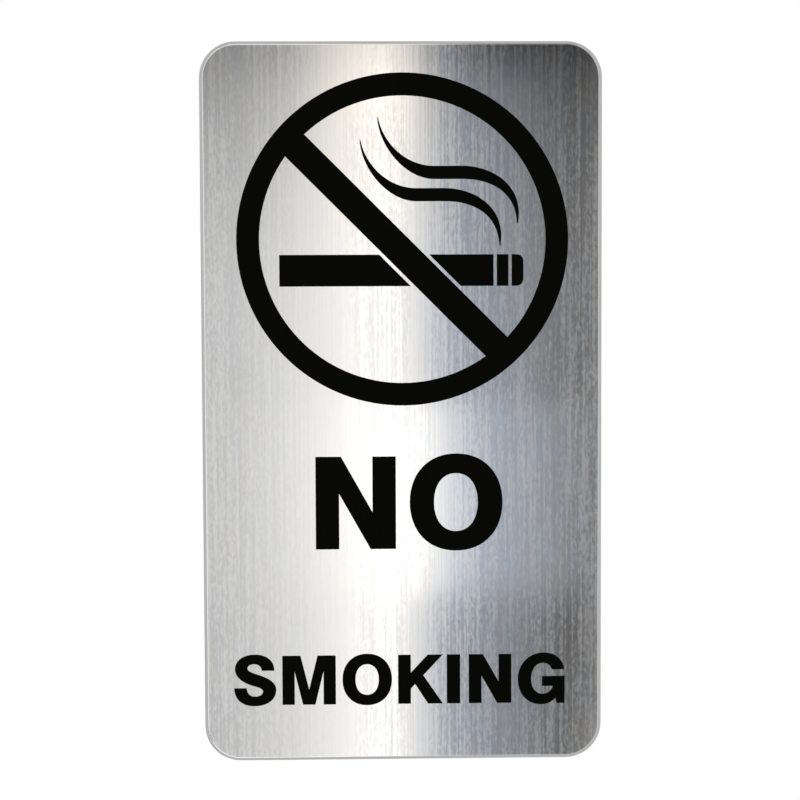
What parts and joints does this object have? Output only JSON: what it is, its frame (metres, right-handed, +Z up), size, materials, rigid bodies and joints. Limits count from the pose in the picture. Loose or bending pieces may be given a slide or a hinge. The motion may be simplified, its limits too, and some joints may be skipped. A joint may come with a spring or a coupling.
{
  "type": "no smoking sign",
  "caption": "Upright rectangular sign plate of brushed steel with rounded corners and a black printed no smoking pictogram, fixed to a wall or door by its plain back.",
  "frame": {"origin": "middle of the plate's back face", "axes": "+Z up along the plate's height, +Y out of its back towards the wall, +X to the right as the front is read"},
  "size_m": [0.1, 0.0016, 0.18],
  "materials": {
    "brushed_steel": "brushed along its height",
    "black_print": "flat black print"
  },
  "bodies": {
    "root": {"plate": "brushed_steel", "ring_and_bar": "black_print", "cigarette_long_part": "black_print", "cigarette_short_part": "black_print", "cigarette_band": "black_print", "cigarette_hot_end": "black_print", "smoke_upper_wisp": "black_print", "smoke_lower_wisp": "black_print"}
  },
  "joints": []
}
